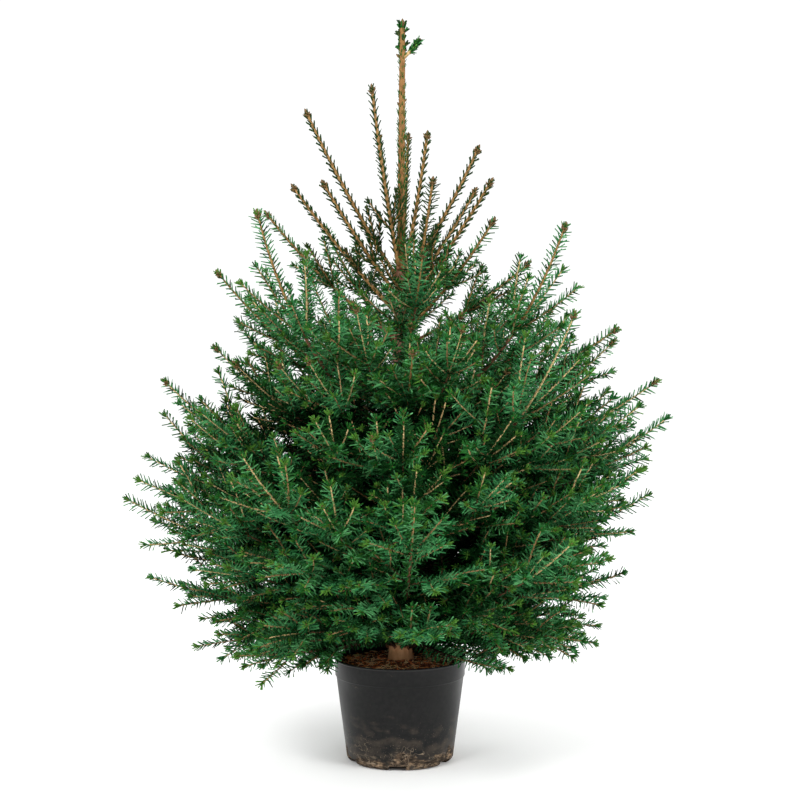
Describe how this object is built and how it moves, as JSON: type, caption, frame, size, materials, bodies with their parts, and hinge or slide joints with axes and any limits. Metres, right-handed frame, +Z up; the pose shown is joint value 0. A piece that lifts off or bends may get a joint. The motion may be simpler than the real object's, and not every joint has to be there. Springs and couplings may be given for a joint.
{
  "type": "potted spruce",
  "caption": "Young spruce tree with a straight leader, whorls of upswept boughs and dense needle sprays, standing in a tapered round nursery pot filled with compost.",
  "frame": {"origin": "middle of the pot's flat underside, where the plant stands on the floor", "axes": "+Z up along the trunk, -Y towards the front, +X to the right seen from the front"},
  "size_m": [1.0507, 0.9574, 1.46],
  "materials": {
    "pot_plastic": "semi-matt black moulded plastic with dried mud round its foot",
    "compost": "moist bark and fibre compost",
    "bark": "rough brown bark, tan to orange on young shoots",
    "needles": "satin dark green needles"
  },
  "bodies": {
    "root": {"pot": "pot_plastic", "compost": "compost", "trunk": "bark", "leader_spur": "needles", "bough_3_2": "bark", "bough_3_3": "bark", "bough_4_1": "bark", "bough_4_3": "bark", "bough_5_1": "bark", "bough_5_2": "bark", "bough_6_3": "bark", "bough_7_3": "bark", "foliage_1_1": "needles", "foliage_1_2": "needles", "foliage_1_3": "needles", "foliage_1_4": "needles", "foliage_1_5": "needles", "foliage_1_6": "needles", "foliage_1_7": "needles", "foliage_1_8": "needles", "foliage_1_9": "needles", "foliage_1_10": "needles", "foliage_2_1": "needles", "foliage_2_2": "needles", "foliage_2_3": "needles", "foliage_2_4": "needles", "foliage_2_5": "needles", "foliage_2_6": "needles", "foliage_3_1": "needles", "foliage_3_2": "needles", "foliage_3_3": "needles", "foliage_3_4": "needles", "foliage_3_5": "needles", "foliage_3_6": "needles", "foliage_3_7": "needles", "foliage_4_1": "needles", "foliage_4_2": "needles", "foliage_4_3": "needles", "foliage_4_4": "needles", "foliage_4_5": "needles", "foliage_4_6": "needles", "foliage_5_1": "needles", "foliage_5_2": "needles", "foliage_5_3": "needles", "foliage_5_4": "needles", "foliage_5_5": "needles", "foliage_5_6": "needles", "foliage_6_1": "needles", "foliage_6_2": "needles", "foliage_6_3": "needles", "foliage_6_4": "needles", "foliage_6_5": "needles", "foliage_6_6": "needles", "foliage_7_1": "needles", "foliage_7_2": "needles", "foliage_7_3": "needles", "foliage_7_4": "needles", "foliage_7_5": "needles", "foliage_7_6": "needles", "foliage_7_7": "needles"}
  },
  "joints": []
}
